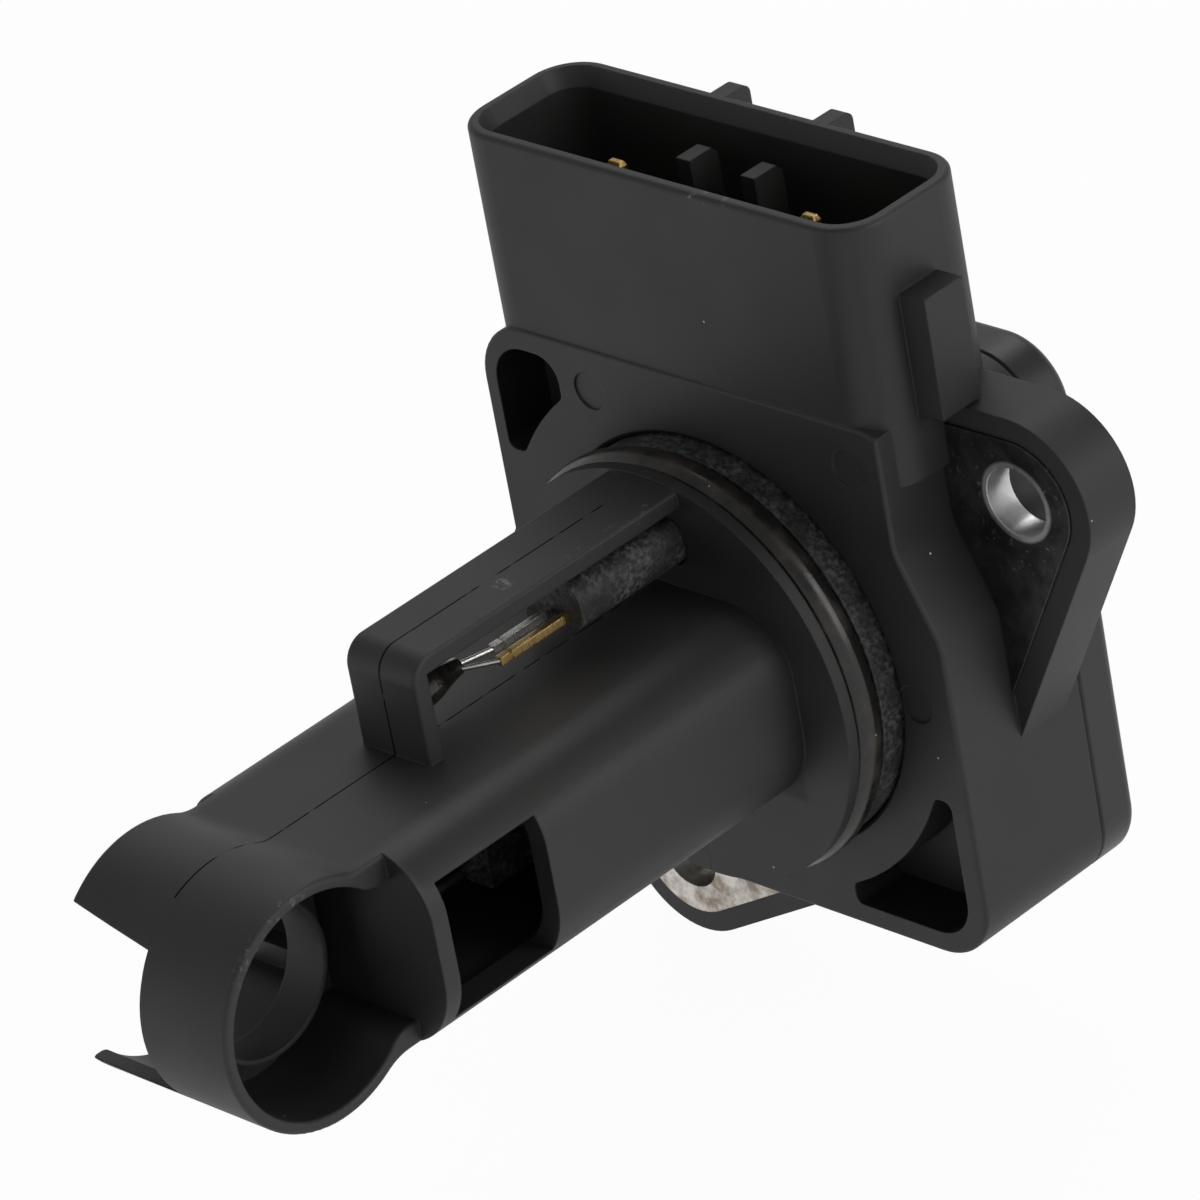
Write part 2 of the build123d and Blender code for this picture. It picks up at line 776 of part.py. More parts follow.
# Half of the probe on the inlet side, with the open tip and the throat ring
with BuildPart() as inlet_half:
    add(probe.part)
    split(bisect_by=Plane.YZ, keep=Keep.BOTTOM)
    with BuildSketch(at_y(-inlet_back)):
        Polygon(
            (0, -inlet_half_height),
            (0, inlet_half_height),
            (-ring_half_width, inlet_half_height + inlet_rise),
            (-ring_half_width, inlet_lift - inlet_half_height),
            align=None,
        )
    extrude(amount=2 * ring_radius, mode=Mode.SUBTRACT)
    with BuildSketch(Plane.YZ.offset(-throat_web)):
        with Locations((-ring_centre, 0)):
            Rectangle(ring_centre - body_end, 2 * neck_bore_half_height, align=(Align.MIN, Align.CENTER))
            Circle(ring_bore)
            Circle(throat_bore, mode=Mode.SUBTRACT)
    extrude(amount=throat_web)
    with BuildSketch(Plane.YZ.offset(-throat_web)):
        with Locations((-ring_centre, 0)):
            Circle(throat_bore + throat_wall)
    extrude(amount=throat_web + throat_end, taper=throat_taper)
    with BuildSketch(Plane.YZ.offset(-throat_web)):
        with Locations((-ring_centre, 0)):
            Circle(throat_bore)
    extrude(amount=throat_web + throat_end, mode=Mode.SUBTRACT)
    with BuildSketch(Plane.XY.offset(-transfer_half_height)):
        with Locations((-transfer_near, -body_end)):
            Rectangle(transfer_far - transfer_near, 2 * end_wall, align=(Align.MAX, Align.CENTER))
    extrude(amount=2 * transfer_half_height, mode=Mode.SUBTRACT)
inlet_half.part.label = "probe_half_inlet"
export_step(inlet_half.part, "parts/probe_half_inlet.step")


# Rubber seal in the groove between the land and the collar
with BuildPart() as seal:
    seal_place = collar_depth + (boss_length - land_thickness - collar_depth) / 2
    with BuildSketch(Plane.XY):
        with Locations((groove_radius + seal_section / 2, -seal_place)):
            Circle(seal_section / 2)
    revolve(axis=Axis.Y, revolution_arc=360)
seal.part.label = "o_ring"
export_step(seal.part, "parts/o_ring.step")


# Circuit board on the plate's back, with a slot for the pins and terminals
board_centre = (flange_right - flange_left) / 2
board_half_width = (flange_left + flange_right) / 2 - cavity_wall - board_margin
board_top = cavity_half_height - bond_ledge_height - board_margin
board_bottom = cavity_half_height - board_margin
with BuildPart() as board:
    with BuildSketch(at_y(board_back)):
        with Locations((board_centre, (board_top - board_bottom) / 2)):
            Rectangle(2 * board_half_width, board_top + board_bottom)
        with Locations((0, (board_slot_top - board_slot_bottom) / 2)):
            Rectangle(2 * board_slot_half_width, board_slot_top + board_slot_bottom, mode=Mode.SUBTRACT)
    extrude(amount=board_thickness)
board.part.label = "circuit_board"
export_step(board.part, "parts/circuit_board.step")


# Chips on the board
for name, place_x, place_z, size in (
    ("control_chip", control_chip_x, control_chip_z, control_chip_size),
    ("driver_chip", driver_chip_x, driver_chip_z, driver_chip_size),
):
    with BuildPart() as chip:
        with BuildSketch(at_y(board_back + chip_height)):
            with Locations((place_x, place_z)):
                Rectangle(size, size)
        extrude(amount=chip_height)
    chip.part.label = name
    export_step(chip.part, f"parts/{name}.step")
for index, place in enumerate(capacitor_places, start=1):
    with BuildPart() as capacitor:
        with BuildSketch(at_y(board_back + capacitor_height)):
            with Locations((place, capacitor_row)):
                Rectangle(capacitor_length, capacitor_width)
        extrude(amount=capacitor_height)
    capacitor.part.label = f"chip_capacitor_{index}"
    export_step(capacitor.part, f"parts/chip_capacitor_{index}.step")


# Bond wires that loop from the board's top edge to the blades' tails
for index, place in enumerate(blade_places, start=1):
    with BuildPart() as wire:
        with BuildLine():
            FilletPolyline(
                (place, board_back, board_top - bond_foot),
                (place, blade_tail_back + bond_arch, board_top - bond_foot),
                (place, blade_tail_back + bond_arch, blade_tail + bond_foot),
                (place, blade_tail_back, blade_tail + bond_foot),
                radius=bond_bend,
            )
        with BuildSketch(Plane.XZ.offset(-board_back)):
            with Locations((place, board_top - bond_foot)):
                Circle(bond_wire / 2)
        sweep()
    wire.part.label = f"bond_wire_{index}"
    export_step(wire.part, f"parts/bond_wire_{index}.step")
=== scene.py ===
# %% [markdown]
# A mass airflow sensor, dressed for a studio photograph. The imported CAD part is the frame: every
# piece has its place and size from there, and this script gives it edges, finishes and light.

# %% Load the frame
import json
import math

import bpy
from mathutils import Matrix, Vector


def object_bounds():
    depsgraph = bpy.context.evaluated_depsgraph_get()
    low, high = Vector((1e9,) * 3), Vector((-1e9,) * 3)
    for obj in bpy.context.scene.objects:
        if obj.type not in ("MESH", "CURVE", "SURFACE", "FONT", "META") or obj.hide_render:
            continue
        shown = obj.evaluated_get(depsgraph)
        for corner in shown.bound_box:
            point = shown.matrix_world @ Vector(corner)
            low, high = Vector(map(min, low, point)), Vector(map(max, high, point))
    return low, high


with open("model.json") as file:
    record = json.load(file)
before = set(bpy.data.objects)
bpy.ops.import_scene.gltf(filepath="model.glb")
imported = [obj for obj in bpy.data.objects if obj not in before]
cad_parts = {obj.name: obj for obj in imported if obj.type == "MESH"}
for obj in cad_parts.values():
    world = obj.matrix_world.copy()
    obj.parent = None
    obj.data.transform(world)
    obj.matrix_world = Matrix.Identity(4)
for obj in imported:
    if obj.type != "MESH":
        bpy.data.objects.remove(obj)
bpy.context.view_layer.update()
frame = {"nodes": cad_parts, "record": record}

MM = 0.001
nodes = frame["nodes"]

# %% [markdown]
# The camera stands far off with a long lens, as for a product photograph, so the part shows almost
# no perspective. Three angles say where it stands and how it is tilted about its own axis, and two
# offsets say how far the part's origin lies beside and below the middle of the picture.

# %% Camera
CAMERA_AZIMUTH = -41.086
CAMERA_ELEVATION = 28.833
CAMERA_ROLL = 10.803
CAMERA_DISTANCE = 493.27
ORIGIN_RIGHT = 7.757
ORIGIN_DOWN = 2.384
CAMERA_LENS = 246.94
SENSOR_WIDTH = 36.0
CAMERA_FAR = 10.0


def camera_axes(azimuth, elevation, roll):
    """Right, up and forward of a camera that looks at the part from the given angles."""
    turn = math.radians(azimuth)
    rise = math.radians(elevation)
    back = Vector((math.cos(rise) * math.cos(turn), math.cos(rise) * math.sin(turn), math.sin(rise)))
    level_right = Vector((0, 0, 1)).cross(back).normalized()
    level_up = back.cross(level_right)
    tilt = math.radians(roll)
    right = level_right * math.cos(tilt) - level_up * math.sin(tilt)
    up = level_right * math.sin(tilt) + level_up * math.cos(tilt)
    return right, up, -back


def make_camera():
    """The camera at the photograph's angle, framed as there."""
    right, up, forward = camera_axes(CAMERA_AZIMUTH, CAMERA_ELEVATION, CAMERA_ROLL)
    place = -(right * ORIGIN_RIGHT - up * ORIGIN_DOWN + forward * CAMERA_DISTANCE) * MM
    lens = bpy.data.cameras.new("camera")
    lens.lens = CAMERA_LENS
    lens.sensor_width = SENSOR_WIDTH
    lens.clip_end = CAMERA_FAR
    camera = bpy.data.objects.new("camera", lens)
    turn = Matrix((right, up, -forward)).transposed()
    camera.matrix_world = Matrix.Translation(place) @ turn.to_4x4()
    bpy.context.scene.collection.objects.link(camera)
    bpy.context.scene.camera = camera
    print("camera at", [round(c / MM, 1) for c in place])


make_camera()

# %% [markdown]
# Every finish here is a small tree of shader nodes. A few helpers keep the trees short: one adds a
# node and sets its inputs, one mixes two colours by a mask, and one turns a grey value into a mask
# with two limits. Masks also come from places on the part: a box, or the space round a bore.

# %% Helpers for shader nodes
EDGE_SAMPLES = 3
EDGE_FLAT = 0.995
EDGE_TURNED = 0.85


def link_or_set(tree, socket, value):
    """Join a socket to another node's output, or set it to a plain value."""
    if isinstance(value, bpy.types.NodeSocket):
        tree.links.new(value, socket)
    else:
        socket.default_value = value


def shader_node(tree, kind, inputs=(), **settings):
    """Add a node, set its properties and fill its inputs by name or number."""
    made = tree.nodes.new(kind)
    for name, value in settings.items():
        setattr(made, name, value)
    for key, value in dict(inputs).items():
        link_or_set(tree, made.inputs[key], value)
    return made


def object_place(tree):
    """Object coordinates, which run in metres from the part's origin."""
    return shader_node(tree, "ShaderNodeTexCoord").outputs["Object"]


def noise(tree, place, grain_mm, detail=3.0, roughness=0.55):
    """Cloudy noise whose lumps are about as wide as the given grain."""
    scale = 1.0 / (grain_mm * MM)
    inputs = {"Vector": place, "Scale": scale, "Detail": detail, "Roughness": roughness}
    return shader_node(tree, "ShaderNodeTexNoise", inputs).outputs["Fac"]


def ramp(tree, value, low, high, start=0.0, end=1.0):
    """A grey value mapped from one pair of limits to another, and held between them."""
    inputs = {"Value": value, "From Min": low, "From Max": high, "To Min": start, "To Max": end}
    return shader_node(tree, "ShaderNodeMapRange", inputs, clamp=True).outputs["Result"]


def math_node(tree, operation, first, second=0.0):
    """One arithmetic step."""
    return shader_node(tree, "ShaderNodeMath", {0: first, 1: second}, operation=operation).outputs[0]


def mix_colour(tree, mask, first, second):
    """The first colour where the mask is 0, the second where it is 1."""
    made = shader_node(tree, "ShaderNodeMix", data_type="RGBA")
    link_or_set(tree, made.inputs[0], mask)
    link_or_set(tree, made.inputs[6], first)
    link_or_set(tree, made.inputs[7], second)
    return made.outputs[2]


def grey(value, warmth=0.0):
    """A grey colour, turned a little towards warm."""
    return (value * (1 + warmth), value, value * (1 - warmth), 1.0)


def specks(tree, place, spacing_mm, size_mm, share):
    """A mask of small dots that lie far apart: dust, chips or pale fibres."""
    inputs = {"Vector": place, "Scale": 1.0 / (spacing_mm * MM), "Randomness": 1.0}
    cells = shader_node(tree, "ShaderNodeTexVoronoi", inputs)
    dot = math_node(tree, "LESS_THAN", cells.outputs["Distance"], 0.5 * size_mm / spacing_mm)
    pick = shader_node(tree, "ShaderNodeSeparateColor", {"Color": cells.outputs["Color"]})
    chosen = math_node(tree, "LESS_THAN", pick.outputs[0], share)
    return math_node(tree, "MULTIPLY", dot, chosen)


def soft_edge(tree, radius_mm):
    """The surface's direction with its edges rounded, and a mask of where it was rounded."""
    inputs = {"Radius": radius_mm * MM}
    rounded = shader_node(tree, "ShaderNodeBevel", inputs, samples=EDGE_SAMPLES).outputs[0]
    plain = shader_node(tree, "ShaderNodeNewGeometry").outputs["Normal"]
    agree = shader_node(tree, "ShaderNodeVectorMath", {0: rounded, 1: plain}, operation="DOT_PRODUCT")
    return rounded, ramp(tree, agree.outputs["Value"], EDGE_FLAT, EDGE_TURNED)


def new_finish(name):
    """An empty material with a Principled shader; returns the material, its tree and the shader."""
    made = bpy.data.materials.new(name)
    made.use_nodes = True
    tree = made.node_tree
    return made, tree, tree.nodes["Principled BSDF"]


def bump(tree, height, depth_mm, normal=None):
    """A bump of the given real depth."""
    inputs = {"Height": height, "Distance": depth_mm * MM, "Strength": 1.0}
    if normal is not None:
        inputs["Normal"] = normal
    return shader_node(tree, "ShaderNodeBump", inputs).outputs["Normal"]


def axis_values(tree, place):
    """The three coordinates of a place as single values."""
    return shader_node(tree, "ShaderNodeSeparateXYZ", {"Vector": place}).outputs


def box_mask(tree, place, low_mm, high_mm, fade_mm):
    """1 inside a box, falling to 0 over the given distance outside it."""
    mask = 1.0
    for value, low, high in zip(axis_values(tree, place), low_mm, high_mm):
        rise = ramp(tree, value, (low - fade_mm) * MM, low * MM)
        fall = ramp(tree, value, high * MM, (high + fade_mm) * MM, 1.0, 0.0)
        mask = math_node(tree, "MULTIPLY", mask, math_node(tree, "MULTIPLY", rise, fall))
    return mask


def bore_mask(tree, place, centre_mm, near_mm, far_mm):
    """1 close to an axis that runs along the part's depth, 0 further from it."""
    flat = {0: place, 1: (1.0, 0.0, 1.0)}
    across = shader_node(tree, "ShaderNodeVectorMath", flat, operation="MULTIPLY")
    axis = (centre_mm[0] * MM, 0.0, centre_mm[1] * MM)
    inputs = {0: across.outputs[0], 1: axis}
    away = shader_node(tree, "ShaderNodeVectorMath", inputs, operation="DISTANCE")
    return ramp(tree, away.outputs["Value"], near_mm * MM, far_mm * MM, 1.0, 0.0)


# %% [markdown]
# Glass-filled nylon fresh from a mould is not one flat black. It is slightly brown, its skin has a
# fine grain, the plastic's flow leaves faint clouds and dust shows as tiny pale dots. The sharp edges
# are painted a little lighter, partly as wear and partly as a painted highlight. One function mixes
# all of this, and the mouldings differ in numbers.
# Names that end in MM are lengths in millimetres, and those that end in TONE are shades of grey
# from 0 for black to 1 for white.

# %% Moulded plastic
PLASTIC_WARMTH = 0.04
PLASTIC_SHINE = 0.5
SHINE_SPREAD = 0.1
CLOUD_MM = 7.0
CLOUD_LIGHTER = 1.35
GRAIN_MM = 0.22
GRAIN_DEPTH_MM = 0.006
EDGE_MM = 0.16
EDGE_WEAR_AND_HIGHLIGHT_TONE = 0.035
WEAR_MM = 0.9
DUST_APART_MM = 2.6
DUST_MM = 0.16
DUST_SHARE = 0.3
DUST_TONE = 0.55
RUB_MM = 0.5
RUB_FADE_MM = 0.3
RUB_STEP = 0.08
DASH_MM = 1.6
SEAM_FADE_MM = 0.03
SEAM_TONE = 0.001
SEAM_GLOSS = 0.05
# Painted shade for recesses: walls there are painted this near-black tone and lose gloss.
PAINTED_SHADE_TONE = 0.02
PAINTED_SHADE_GLOSS = 0.6
PLAIN_GLOSS = 0.5


def moulded_plastic(name, tone, shine=PLASTIC_SHINE, painted_shade_boxes=(), marks=(), seam=None):
    """Black moulded plastic with clouds, grain, dust, and edges painted lighter as wear and painted
    highlight.

    Painted-shade boxes are boxes whose walls are painted nearly black and less glossy, as painted
    shade in recesses.
    Marks are boxes painted pale in patches, and a seam is a box in which a thin dark line is drawn in
    dashes.
    """
    made, tree, shader = new_finish(name)
    place = object_place(tree)
    clouds = noise(tree, place, CLOUD_MM, detail=4.0)
    fine = noise(tree, place, GRAIN_MM, detail=2.0)
    dark = grey(tone, PLASTIC_WARMTH)
    light = grey(tone * CLOUD_LIGHTER, PLASTIC_WARMTH)
    body = mix_colour(tree, ramp(tree, clouds, 0.35, 0.7), dark, light)
    rounded, worn = soft_edge(tree, EDGE_MM)
    breaks = ramp(tree, noise(tree, place, WEAR_MM), 0.42, 0.62)
    edge_wear_and_highlight = math_node(tree, "MULTIPLY", worn, breaks)
    # Painted highlight and wear: rounded edges, broken by noise, are painted a lighter tone.
    body = mix_colour(tree, edge_wear_and_highlight, body, grey(EDGE_WEAR_AND_HIGHLIGHT_TONE, PLASTIC_WARMTH))
    dust = specks(tree, place, DUST_APART_MM, DUST_MM, DUST_SHARE)
    body = mix_colour(tree, dust, body, grey(DUST_TONE))
    rubbed = noise(tree, place, RUB_MM, detail=5.0, roughness=0.7)
    for low, high, limit, paleness in marks:
        patch = box_mask(tree, place, low, high, RUB_FADE_MM)
        patch = math_node(tree, "MULTIPLY", patch, ramp(tree, rubbed, limit, limit + RUB_STEP))
        body = mix_colour(tree, patch, body, grey(paleness, PLASTIC_WARMTH))
    gloss = PLAIN_GLOSS
    if seam is not None:
        dashes = ramp(tree, noise(tree, place, DASH_MM, detail=1.0), 0.4, 0.46)
        line = math_node(tree, "MULTIPLY", box_mask(tree, place, *seam, SEAM_FADE_MM), dashes)
        body = mix_colour(tree, line, body, grey(SEAM_TONE))
        gloss = ramp(tree, line, 0.0, 1.0, PLAIN_GLOSS, SEAM_GLOSS)
    # Painted shade: inside each box the walls are painted nearly black and less glossy, as if in deep
    # shade.
    for low, high, fade in painted_shade_boxes:
        inside = box_mask(tree, place, low, high, fade)
        body = mix_colour(tree, inside, body, grey(PAINTED_SHADE_TONE, PLASTIC_WARMTH))
        gloss = math_node(tree, "MULTIPLY", gloss, ramp(tree, inside, 0.0, 1.0, 1.0, PAINTED_SHADE_GLOSS))
    link_or_set(tree, shader.inputs["Specular IOR Level"], gloss)
    tree.links.new(body, shader.inputs["Base Color"])
    rough = ramp(tree, clouds, 0.3, 0.75, shine, shine + SHINE_SPREAD)
    tree.links.new(rough, shader.inputs["Roughness"])
    tree.links.new(bump(tree, fine, GRAIN_DEPTH_MM, rounded), shader.inputs["Normal"])
    return made


PIT_MM = 0.35
PIT_DEPTH_MM = 0.05
PATCH_MM = 2.2
CORE_TONE = 0.01
FIBRE_TONE = 0.12
CORE_EDGE_MM = 0.2
CORE_ROUGHNESS = 0.62


def rough_plastic(name):
    """The core's rough skin: pale fibres show through a dark, pitted surface."""
    made, tree, shader = new_finish(name)
    place = object_place(tree)
    pits = noise(tree, place, PIT_MM, detail=5.0, roughness=0.7)
    patches = ramp(tree, noise(tree, place, PATCH_MM, detail=3.0), 0.3, 0.6)
    mottle = math_node(tree, "MULTIPLY", ramp(tree, pits, 0.42, 0.66), patches)
    body = mix_colour(tree, mottle, grey(CORE_TONE), grey(FIBRE_TONE, -0.02))
    rounded, worn = soft_edge(tree, CORE_EDGE_MM)
    body = mix_colour(tree, math_node(tree, "MULTIPLY", worn, pits), body, grey(FIBRE_TONE))
    tree.links.new(body, shader.inputs["Base Color"])
    shader.inputs["Roughness"].default_value = CORE_ROUGHNESS
    tree.links.new(bump(tree, pits, PIT_DEPTH_MM, rounded), shader.inputs["Normal"])
    return made


# %% [markdown]
# Rubber for a seal ring is black and oiled. It is glossier than the plastic, with a little oil that
# gathers in smears, so the highlight breaks up along the ring. The metal plate differs between its
# two ears: the upper one is painted dark as a painted reflection, with pale scuffs round its hole and
# the hole's wall painted bright as a painted highlight; the lower one is pale and stained.

# %% Rubber, glaze and metals
SMEAR_MM = 1.8
RUBBER_GRAIN_MM = 0.3
RUN_MM = 0.8
RUN_DEPTH_MM = 0.04
METAL_STAIN_MM = 2.4
METAL_EDGE_MM = 0.12
SCRATCH_MM = 0.25
SCRATCH_STRETCH = (1.0, 1.0, 0.06)
SCRATCH_TURN = (0.0, 0.6, 0.0)
PLATE_STAIN_MM = 2.0
PLATE_SCUFF_MM = 0.45
PLATE_PALE = (0.72, 0.69, 0.64, 1)
PLATE_BROWN = (0.30, 0.25, 0.20, 1)
EARS_APART_MM = 2.0
UPPER_HOLE = (20.85, 12.3)
HOLE_WALL = 2.5
HOLE_RIM = 2.7
HOLE_SCUFF = 6.0


def oiled_rubber(name):
    """Black rubber with an uneven film of oil."""
    made, tree, shader = new_finish(name)
    place = object_place(tree)
    smears = noise(tree, place, SMEAR_MM, detail=4.0)
    body = mix_colour(tree, ramp(tree, smears, 0.45, 0.7), grey(0.009, 0.1), grey(0.03, 0.25))
    body = mix_colour(tree, specks(tree, place, 1.4, 0.12, 0.25), body, grey(0.3))
    tree.links.new(body, shader.inputs["Base Color"])
    tree.links.new(ramp(tree, smears, 0.35, 0.7, 0.24, 0.42), shader.inputs["Roughness"])
    tree.links.new(bump(tree, noise(tree, place, RUBBER_GRAIN_MM), 0.01), shader.inputs["Normal"])
    return made


def glazed(name):
    """A dipped glaze: black, smooth and wet-looking."""
    made, tree, shader = new_finish(name)
    place = object_place(tree)
    runs = noise(tree, place, RUN_MM)
    body = mix_colour(tree, ramp(tree, runs, 0.4, 0.7), grey(0.006), grey(0.02, 0.15))
    tree.links.new(body, shader.inputs["Base Color"])
    shader.inputs["Roughness"].default_value = 0.1
    tree.links.new(bump(tree, runs, RUN_DEPTH_MM), shader.inputs["Normal"])
    return made


def plain_metal(name, light, dark, roughness):
    """Bare or plated metal with fine scratches along the sheet and duller stains."""
    made, tree, shader = new_finish(name)
    place = object_place(tree)
    inputs = {"Vector": place, "Scale": SCRATCH_STRETCH, "Rotation": SCRATCH_TURN}
    stretched = shader_node(tree, "ShaderNodeMapping", inputs).outputs["Vector"]
    lines = noise(tree, stretched, SCRATCH_MM, detail=4.0)
    stains = noise(tree, place, METAL_STAIN_MM, detail=4.0)
    body = mix_colour(tree, ramp(tree, stains, 0.4, 0.65), light, dark)
    tree.links.new(body, shader.inputs["Base Color"])
    shader.inputs["Metallic"].default_value = 1.0
    stained = ramp(tree, stains, 0.35, 0.7, roughness - 0.06, roughness + 0.08)
    rough = math_node(tree, "ADD", stained, ramp(tree, lines, 0.4, 0.6, 0.0, 0.08))
    tree.links.new(rough, shader.inputs["Roughness"])
    rounded = soft_edge(tree, METAL_EDGE_MM)[0]
    tree.links.new(bump(tree, lines, 0.01, rounded), shader.inputs["Normal"])
    return made


def worn_plate_with_painted_light(name):
    """Rolled plate: the upper ear painted dark as a painted reflection, its hole's wall painted
    bright as a painted highlight; the lower ear pale, stained and brownish.
    """
    made, tree, shader = new_finish(name)
    place = object_place(tree)
    stains = noise(tree, place, PLATE_STAIN_MM, detail=5.0, roughness=0.65)
    blots = ramp(tree, stains, 0.42, 0.62)
    beside = axis_values(tree, place)[0]
    # Painted reflection: the upper ear's metal is painted dark; the lower ear keeps pale, stained
    # metal.
    painted_dark_upper_ear = ramp(tree, beside, -EARS_APART_MM * MM, EARS_APART_MM * MM)
    pale = mix_colour(tree, blots, PLATE_PALE, PLATE_BROWN)
    dark = mix_colour(tree, blots, grey(0.085), grey(0.11, 0.03))
    body = mix_colour(tree, painted_dark_upper_ear, pale, dark)
    flecks = noise(tree, place, PLATE_SCUFF_MM, detail=5.0, roughness=0.7)
    scuffs = ramp(tree, flecks, 0.6, 0.68)
    rims = bore_mask(tree, place, UPPER_HOLE, HOLE_RIM, HOLE_SCUFF)
    body = mix_colour(tree, math_node(tree, "MULTIPLY", rims, scuffs), body, grey(0.5))
    # Painted highlight: the wall of the upper ear's screw hole is painted bright.
    painted_highlight_wall = bore_mask(tree, place, UPPER_HOLE, HOLE_WALL, HOLE_RIM)
    body = mix_colour(tree, painted_highlight_wall, body, grey(0.8))
    tree.links.new(body, shader.inputs["Base Color"])
    shader.inputs["Metallic"].default_value = 1.0
    tree.links.new(ramp(tree, stains, 0.35, 0.7, 0.28, 0.42), shader.inputs["Roughness"])
    rounded = soft_edge(tree, METAL_EDGE_MM)[0]
    tree.links.new(bump(tree, noise(tree, place, 0.4), 0.008, rounded), shader.inputs["Normal"])
    return made


def ceramic(name, tone):
    """Fired ceramic: pale, fine-grained and dull."""
    made, tree, shader = new_finish(name)
    place = object_place(tree)
    grain = noise(tree, place, 0.3)
    body = mix_colour(tree, ramp(tree, grain, 0.4, 0.6), tone, grey(0.6))
    tree.links.new(body, shader.inputs["Base Color"])
    shader.inputs["Roughness"].default_value = 0.55
    tree.links.new(bump(tree, grain, 0.01), shader.inputs["Normal"])
    return made


# %% [markdown]
# Each slot of the record gets its finish. The CAD nodes keep their meshes, and only the material in
# their slot is changed. The boxes below are in millimetres, from the part's origin. A painted-shade
# box, whose walls are painted nearly black as painted shade, ends with the distance over which it
# fades. A mark's box ends with the noise level from which it shows and with its grey tone.

# %% Give every node its finish
# The first two boxes paint shade into the socket and into the probe body's channel.
SOCKET_PAINTED_SHADE = ((-15.7, 1.3, 19.0), (14.9, 9.6, 28.6), 0.5)
BODY_PAINTED_SHADE = ((-8.9, -34.7, -5.9), (9.3, -2.0, 5.9), 0.4)
FRONT_CHIPS = ((2.4, 0.1, 30.5), (6.6, 0.7, 31.2), 0.58, 0.12)
BACK_CHIPS = ((0.7, 10.2, 30.5), (3.7, 11.2, 31.2), 0.58, 0.12)
STRAP_MARK = ((0.7, -17.9, 13.2), (1.5, -17.3, 13.5), 0.46, 0.12)
STRAP_WEAR = ((2.2, -13.9, 13.0), (3.0, -6.0, 13.5), 0.58, 0.07)
# Paler patches on the upper front of the tube's end face.
TUBE_END_PALE_PATCHES = ((6.8, -48.4, 4.0), (7.1, -41.5, 8.2), 0.56, 0.08)
HALVES_SEAM = ((-0.05, -45.0, 5.0), (0.05, -8.0, 14.0))
FINISHES = {
    "housing_plastic": moulded_plastic(
        "housing_plastic", 0.011, painted_shade_boxes=[SOCKET_PAINTED_SHADE], marks=[FRONT_CHIPS, BACK_CHIPS]),
    "cover_plastic": moulded_plastic("cover_plastic", 0.011, shine=0.36),
    "probe_plastic": moulded_plastic(
        "probe_plastic", 0.0125, painted_shade_boxes=[BODY_PAINTED_SHADE], marks=[STRAP_MARK, STRAP_WEAR, TUBE_END_PALE_PATCHES],
        seam=HALVES_SEAM),
    "core_plastic": rough_plastic("core_plastic"),
    "seal_rubber": oiled_rubber("seal_rubber"),
    "plate_metal": worn_plate_with_painted_light("plate_metal"),
    "gold_plate": plain_metal("gold_plate", (0.86, 0.63, 0.26, 1), (0.6, 0.4, 0.14, 1), 0.26),
    "tin_plate": plain_metal("tin_plate", (0.72, 0.71, 0.69, 1), (0.45, 0.44, 0.42, 1), 0.26),
    "bead_glaze": glazed("bead_glaze"),
    "element_glass": ceramic("element_glass", (0.6, 0.62, 0.6, 1)),
    "board_ceramic": ceramic("board_ceramic", (0.75, 0.74, 0.7, 1)),
    "chip_plastic": moulded_plastic("chip_plastic", 0.015),
    "capacitor_ceramic": ceramic("capacitor_ceramic", (0.4, 0.28, 0.16, 1)),
    "wire_aluminium": plain_metal("wire_aluminium", (0.8, 0.8, 0.8, 1), (0.6, 0.6, 0.6, 1), 0.3),
    "sealant": moulded_plastic("sealant", 0.03, shine=0.35),
}
slot_of = {part["node"]: part["material_slot"] for part in frame["record"]["subparts"]}
for name, part in nodes.items():
    part.data.materials.clear()
    part.data.materials.append(FINISHES[slot_of[name]])

# %% [markdown]
# The studio is a white sheet under the part, a sky that is bright near the horizon and dim
# overhead, and two soft lamps. Black plastic shows little of its own colour: what is seen on it is
# the white sheet and the sky mirrored in a dull skin, darker wherever the part hides them from
# itself.

# %% Studio
FLOOR_GAP = 0.3
FLOOR_HALF = 1.5
FLOOR_TONE = 0.86
FLOOR_SEEN = 0.96
FLOOR_MIRRORED = 0.62
SKY_LOW = 0.1
SKY_HIGH = 0.5
SKY_BRIGHT = 0.88
SKY_DIM = 0.3


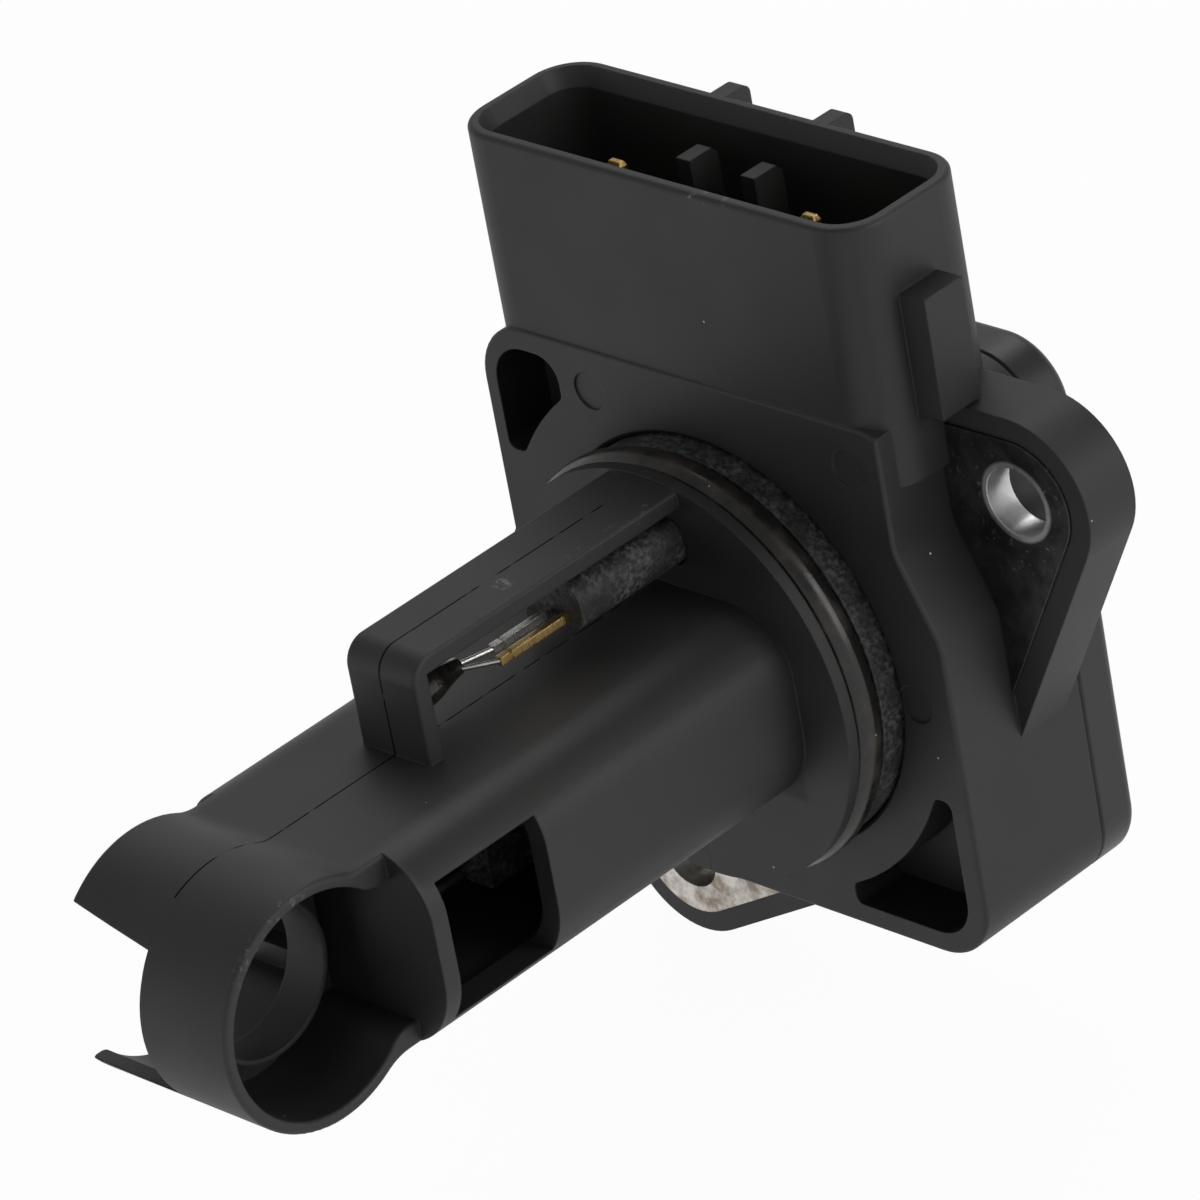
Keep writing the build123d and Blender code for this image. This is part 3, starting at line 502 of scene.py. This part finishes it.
def make_floor():
    """A white sheet just under the part. The camera sees it nearly white, with the part's shadow."""
    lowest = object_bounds()[0][2] - FLOOR_GAP * MM
    mesh = bpy.data.meshes.new("floor")
    corners = [(-FLOOR_HALF, -FLOOR_HALF), (FLOOR_HALF, -FLOOR_HALF), (FLOOR_HALF, FLOOR_HALF),
               (-FLOOR_HALF, FLOOR_HALF)]
    mesh.from_pydata([(x, y, lowest) for x, y in corners], [], [(0, 1, 2, 3)])
    floor = bpy.data.objects.new("floor", mesh)
    bpy.context.scene.collection.objects.link(floor)
    made, tree, shader = new_finish("floor_white")
    shader.inputs["Base Color"].default_value = grey(FLOOR_TONE)
    shader.inputs["Roughness"].default_value = 1.0
    glow = shader_node(tree, "ShaderNodeEmission", {"Color": grey(1.0), "Strength": 1.0})
    rays = shader_node(tree, "ShaderNodeLightPath")
    seen = math_node(tree, "MULTIPLY", rays.outputs["Is Camera Ray"], FLOOR_SEEN)
    mirrored = math_node(tree, "MULTIPLY", rays.outputs["Is Glossy Ray"], FLOOR_MIRRORED)
    share = math_node(tree, "MAXIMUM", seen, mirrored)
    inputs = {0: share, 1: shader.outputs[0], 2: glow.outputs[0]}
    both = shader_node(tree, "ShaderNodeMixShader", inputs)
    tree.links.new(both.outputs[0], tree.nodes["Material Output"].inputs["Surface"])
    mesh.materials.append(made)


def make_world():
    """A sky that is bright near the horizon and dim overhead, as in a tent of white sheets."""
    world = bpy.data.worlds.new("studio")
    world.use_nodes = True
    tree = world.node_tree
    sky = tree.nodes["Background"]
    sky.inputs["Color"].default_value = grey(1.0)
    direction = shader_node(tree, "ShaderNodeTexCoord").outputs["Generated"]
    height = axis_values(tree, direction)[2]
    light = ramp(tree, height, SKY_LOW, SKY_HIGH, SKY_BRIGHT, SKY_DIM)
    tree.links.new(light, sky.inputs["Strength"])
    bpy.context.scene.world = world


def soft_lamp(name, place_mm, size_mm, power):
    """A square soft lamp that faces the part."""
    lamp = bpy.data.lights.new(name, "AREA")
    lamp.energy = power
    lamp.size = size_mm * MM
    made = bpy.data.objects.new(name, lamp)
    place = Vector(place_mm) * MM
    made.matrix_world = Matrix.Translation(place) @ place.to_track_quat("Z", "Y").to_matrix().to_4x4()
    bpy.context.scene.collection.objects.link(made)


make_floor()
make_world()
soft_lamp("lamp_top", (-150, 250, 500), 350, 0.9)
soft_lamp("lamp_right", (500, 150, 250), 300, 1.0)

bpy.context.scene.view_settings.view_transform = "Standard"
